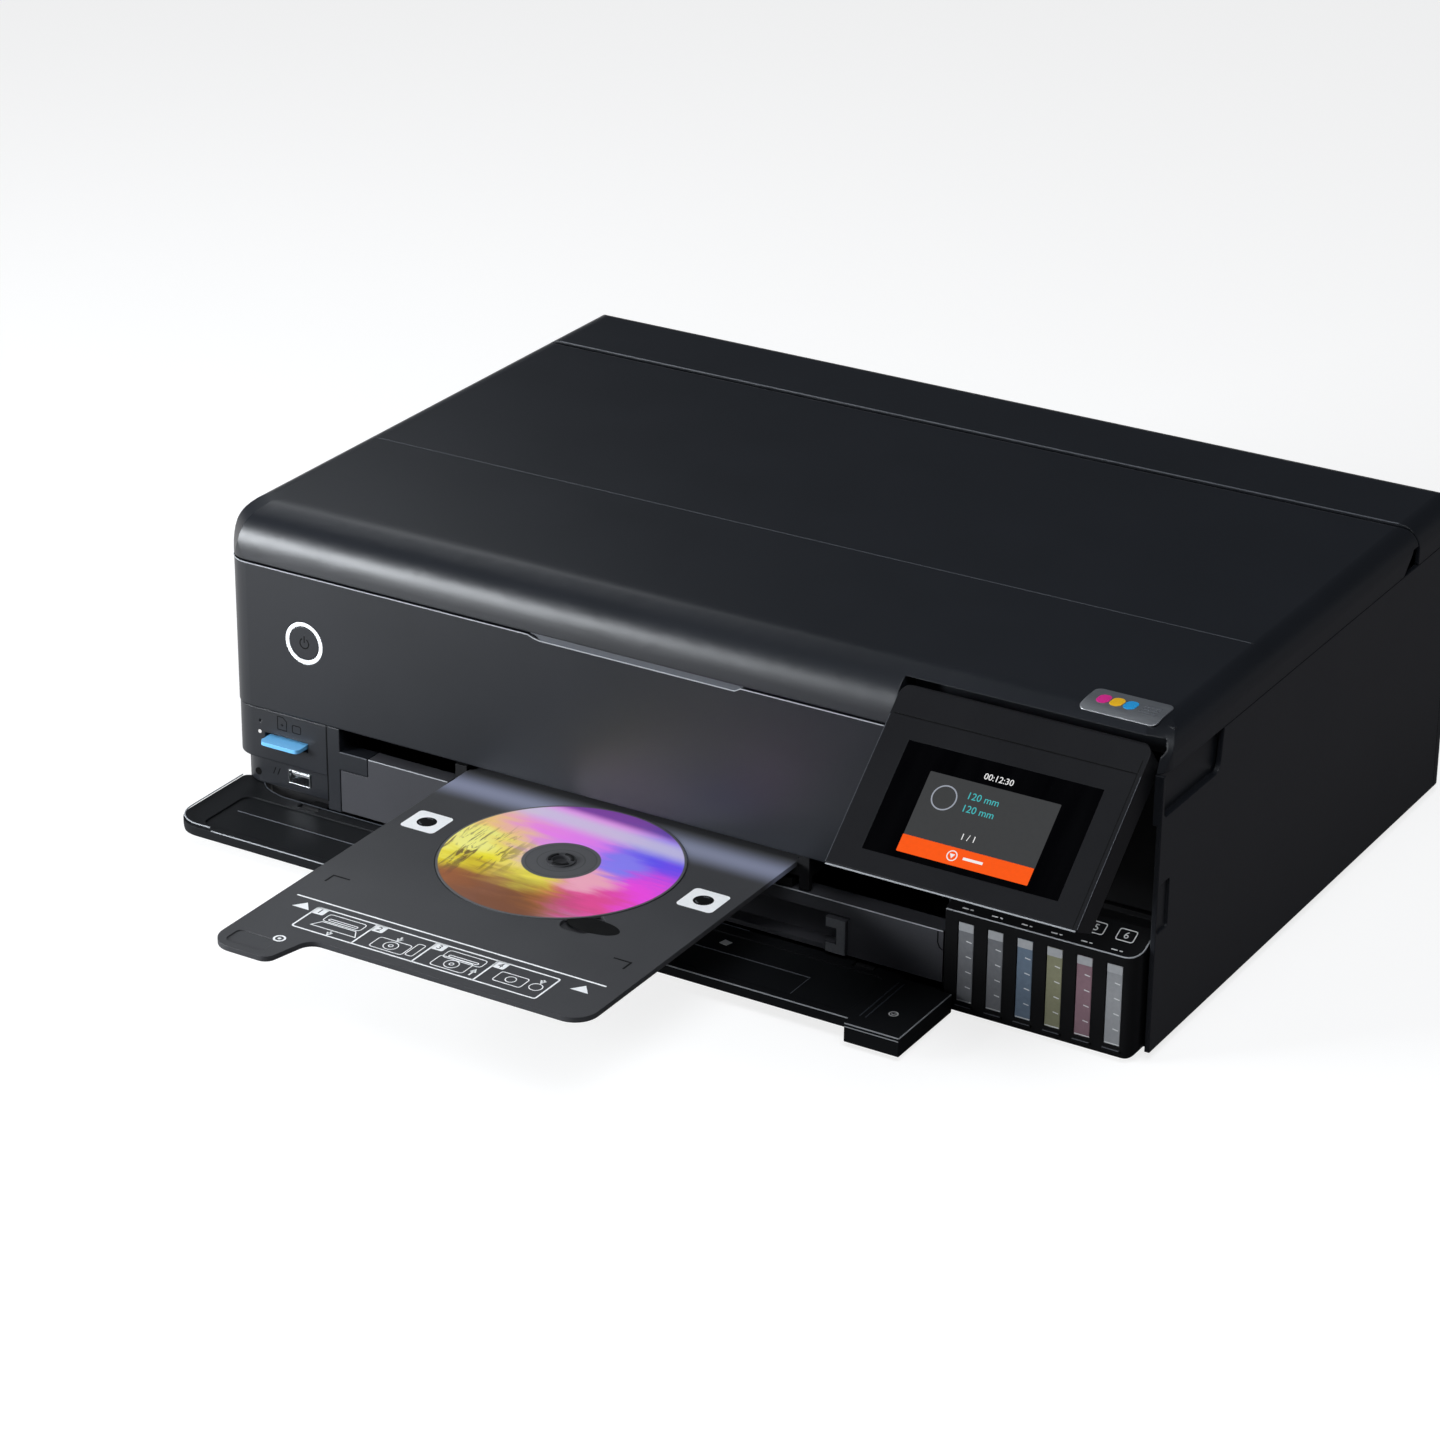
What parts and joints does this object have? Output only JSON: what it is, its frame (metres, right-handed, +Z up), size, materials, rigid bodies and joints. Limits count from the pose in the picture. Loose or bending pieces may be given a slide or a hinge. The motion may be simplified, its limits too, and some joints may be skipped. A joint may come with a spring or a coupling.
{
  "type": "disc label printer",
  "caption": "Wide desktop inkjet with a slide-in disc tray, tilting screen, drop-down front cover, cassette, front ink tanks and a flatbed scanner under its lid",
  "frame": {"origin": "middle of the bounding box on the desk plane, under the feet", "axes": "+X to the user's right, +Y from the front to the back, +Z up"},
  "size_m": [0.523, 0.5644, 0.166],
  "materials": {
    "cover_dark": "fine-textured blue-black moulded cover",
    "cover_black": "black moulded frame, fine texture",
    "tray_grey": "satin dark-grey moulding",
    "inner_black": "black inner moulding",
    "white_trim": "white translucent ring",
    "glass_black": "black glossy screen cover",
    "glass_clear": "clear float glass",
    "pad_white": "white backing pad",
    "steel": "zinc-plated sheet and turned steel",
    "chrome": "plated connector shell",
    "rubber": "black rubber",
    "roller_grey": "grey grit-coated roller",
    "card_blue": "light blue card case",
    "disc_print": "printed disc face",
    "board_green": "circuit board",
    "ink_black": "translucent tank, dark ink",
    "ink_grey": "translucent tank, grey ink",
    "ink_blue": "translucent tank, blue ink",
    "ink_yellow": "translucent tank, yellow ink",
    "ink_pink": "translucent tank, pink ink",
    "ink_light": "translucent tank, light grey ink"
  },
  "bodies": {
    "chassis": {"base_tray": "inner_black", "feet": "rubber", "side_left": "cover_dark", "side_right": "cover_dark", "rear_panel": "cover_dark", "front_panel": "cover_dark", "power_ring": "white_trim", "media_panel": "cover_dark", "usb_port": "chrome", "front_frame": "cover_black", "tray_guide": "inner_black", "panel_mount": "cover_black", "tank_housing": "cover_black", "ink_tank_1": "ink_black", "ink_tank_2": "ink_grey", "ink_tank_3": "ink_blue", "ink_tank_4": "ink_yellow", "ink_tank_5": "ink_pink", "ink_tank_6": "ink_light", "mech_frame": "steel", "platen": "inner_black", "timing_belt": "rubber", "carriage_motor": "steel", "feed_motor": "steel", "main_board": "board_green", "power_supply": "inner_black", "waste_box": "tray_grey"},
    "power_button": {"power_button": "cover_dark"},
    "memory_card": {"memory_card": "card_blue"},
    "front_cover": {"front_cover": "cover_dark"},
    "cassette": {"cassette": "tray_grey"},
    "output_tray": {"output_tray": "inner_black"},
    "disc_tray": {"disc_tray": "tray_grey"},
    "disc": {"disc": "disc_print"},
    "control_panel": {"panel_shell": "cover_black", "panel_glass": "glass_black", "panel_back": "inner_black"},
    "scanner": {"scanner_base": "inner_black", "scanner_top": "cover_black", "scan_glass": "glass_clear", "scan_rail": "steel"},
    "scan_carriage": {"scan_carriage": "inner_black"},
    "lid": {"document_lid": "cover_dark", "lid_pad": "pad_white"},
    "feed_cover": {"feed_cover": "cover_dark"},
    "edge_guide_left": {"edge_guide_left": "tray_grey"},
    "edge_guide_right": {"edge_guide_right": "tray_grey"},
    "feed_roller": {"feed_roller": "roller_grey"},
    "pinch_roller": {"pinch_roller": "inner_black"},
    "eject_roller": {"eject_roller": "steel"},
    "print_carriage": {"print_carriage": "inner_black", "print_head": "steel"},
    "motor_pulley": {"motor_pulley": "steel"},
    "belt_idler": {"belt_idler": "tray_grey"},
    "tank_cap_1": {"tank_cap_1": "inner_black"},
    "tank_cap_2": {"tank_cap_2": "inner_black"},
    "tank_cap_3": {"tank_cap_3": "inner_black"},
    "tank_cap_4": {"tank_cap_4": "inner_black"},
    "tank_cap_5": {"tank_cap_5": "inner_black"},
    "tank_cap_6": {"tank_cap_6": "inner_black"}
  },
  "joints": [
    {"name": "button_press", "type": "slide", "parent": "chassis", "child": "power_button", "axis": [0, 1, 0], "range_m": [0, 0.0015], "stiffness_N_per_m": 300},
    {"name": "card_slide", "type": "slide", "parent": "chassis", "child": "memory_card", "axis": [0, 1, 0], "range_m": [-0.022, 0]},
    {"name": "cover_hinge", "type": "hinge", "parent": "chassis", "child": "front_cover", "pos_m": [0, -0.07075, 0.01], "axis": [1, 0, 0], "range_deg": [-30, 0]},
    {"name": "cassette_slide", "type": "slide", "parent": "chassis", "child": "cassette", "axis": [0, -1, 0], "range_m": [0, 0.12]},
    {"name": "output_slide", "type": "slide", "parent": "chassis", "child": "output_tray", "axis": [0, -1, 0], "range_m": [0, 0.11]},
    {"name": "tray_slide", "type": "slide", "parent": "chassis", "child": "disc_tray", "axis": [0, 1, 0], "range_m": [0, 0.228]},
    {"name": "disc_spin", "type": "hinge", "parent": "disc_tray", "child": "disc", "pos_m": [-0.0208, -0.12805, 0.0555], "axis": [0, 0, 1], "continuous": true},
    {"name": "panel_tilt", "type": "hinge", "parent": "chassis", "child": "control_panel", "pos_m": [0, -0.06175, 0.1488], "axis": [1, 0, 0], "range_deg": [-12, 48.6]},
    {"name": "scanner_lift", "type": "hinge", "parent": "chassis", "child": "scanner", "pos_m": [0, 0.21925, 0.1605], "axis": [1, 0, 0], "range_deg": [-35, 0]},
    {"name": "scan_travel", "type": "slide", "parent": "scanner", "child": "scan_carriage", "axis": [1, 0, 0], "range_m": [0, 0.27]},
    {"name": "lid_hinge", "type": "hinge", "parent": "scanner", "child": "lid", "pos_m": [0, 0.21925, 0.1605], "axis": [-1, 0, 0], "range_deg": [0, 80]},
    {"name": "feed_cover_hinge", "type": "hinge", "parent": "chassis", "child": "feed_cover", "pos_m": [0, 0.27875, 0.149], "axis": [-1, 0, 0], "range_deg": [0, 70]},
    {"name": "guide_right", "type": "slide", "parent": "chassis", "child": "edge_guide_right", "axis": [-1, 0, 0], "range_m": [0, 0.05]},
    {"name": "guide_left", "type": "slide", "parent": "chassis", "child": "edge_guide_left", "axis": [1, 0, 0], "range_m": [-0.001, 0.051]},
    {"name": "feed_spin", "type": "hinge", "parent": "chassis", "child": "feed_roller", "pos_m": [0, 0.08025, 0.0458], "axis": [1, 0, 0], "continuous": true},
    {"name": "pinch_spin", "type": "hinge", "parent": "chassis", "child": "pinch_roller", "pos_m": [0, 0.08025, 0.0612], "axis": [1, 0, 0], "continuous": true},
    {"name": "eject_spin", "type": "hinge", "parent": "chassis", "child": "eject_roller", "pos_m": [0, 0.01825, 0.0488], "axis": [1, 0, 0], "continuous": true},
    {"name": "carriage_travel", "type": "slide", "parent": "chassis", "child": "print_carriage", "axis": [-1, 0, 0], "range_m": [0, 0.29]},
    {"name": "pulley_spin", "type": "hinge", "parent": "chassis", "child": "motor_pulley", "pos_m": [0.148, 0.05175, 0.094], "axis": [0, 1, 0], "continuous": true},
    {"name": "idler_spin", "type": "hinge", "parent": "chassis", "child": "belt_idler", "pos_m": [-0.224, 0.05175, 0.094], "axis": [0, 1, 0], "continuous": true},
    {"name": "cap_hinge_1", "type": "hinge", "parent": "chassis", "child": "tank_cap_1", "pos_m": [0.1685, -0.00945, 0.0634], "axis": [-1, 0, 0], "range_deg": [0, 80]},
    {"name": "cap_hinge_2", "type": "hinge", "parent": "chassis", "child": "tank_cap_2", "pos_m": [0.18395, -0.00945, 0.0634], "axis": [-1, 0, 0], "range_deg": [0, 80]},
    {"name": "cap_hinge_3", "type": "hinge", "parent": "chassis", "child": "tank_cap_3", "pos_m": [0.1994, -0.00945, 0.0634], "axis": [-1, 0, 0], "range_deg": [0, 80]},
    {"name": "cap_hinge_4", "type": "hinge", "parent": "chassis", "child": "tank_cap_4", "pos_m": [0.21485, -0.00945, 0.0634], "axis": [-1, 0, 0], "range_deg": [0, 80]},
    {"name": "cap_hinge_5", "type": "hinge", "parent": "chassis", "child": "tank_cap_5", "pos_m": [0.2303, -0.00945, 0.0634], "axis": [-1, 0, 0], "range_deg": [0, 80]},
    {"name": "cap_hinge_6", "type": "hinge", "parent": "chassis", "child": "tank_cap_6", "pos_m": [0.24575, -0.00945, 0.0634], "axis": [-1, 0, 0], "range_deg": [0, 80]}
  ],
  "couplings": [
    {"joint": "guide_left", "follows": "guide_right", "ratio": 1},
    {"joint": "pinch_spin", "follows": "feed_spin", "ratio": -1.4},
    {"joint": "eject_spin", "follows": "feed_spin", "ratio": 1.75},
    {"joint": "pulley_spin", "follows": "carriage_travel", "rad_per_m": -166.67},
    {"joint": "idler_spin", "follows": "carriage_travel", "rad_per_m": -166.67}
  ]
}
